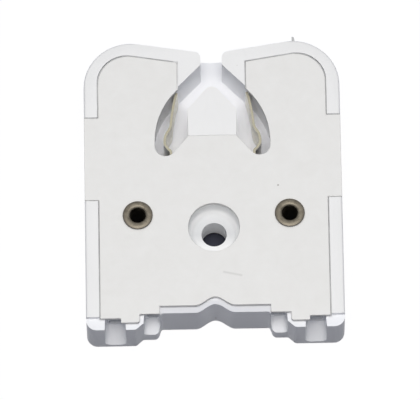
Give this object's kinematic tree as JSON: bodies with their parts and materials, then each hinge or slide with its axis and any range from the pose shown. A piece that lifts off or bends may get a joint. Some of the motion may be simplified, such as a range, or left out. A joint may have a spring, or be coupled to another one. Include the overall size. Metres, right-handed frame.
{
  "type": "fluorescent tube lamp holder",
  "caption": "Moulded straight-in holder for the two-pin end of a fluorescent tube, with a riveted cover plate, leaf contacts, a screw hole and wire entries.",
  "frame": {"origin": "on the flat back, under the middle of the holder's width and length", "axes": "+Z out of the cover plate towards the tube, +Y towards the end where the tube's pins go in, +X to the right as seen from the front with +Y up"},
  "size_m": [0.036, 0.0428, 0.0082],
  "materials": {
    "white_moulding": "satin",
    "plate_card": "matt",
    "eyelet_metal": "satin",
    "contact_bronze": "satin"
  },
  "bodies": {
    "root": {"housing": "white_moulding", "face_plate": "plate_card", "eyelet_left": "eyelet_metal", "eyelet_right": "eyelet_metal", "contact_left": "contact_bronze", "contact_right": "contact_bronze"}
  },
  "joints": []
}
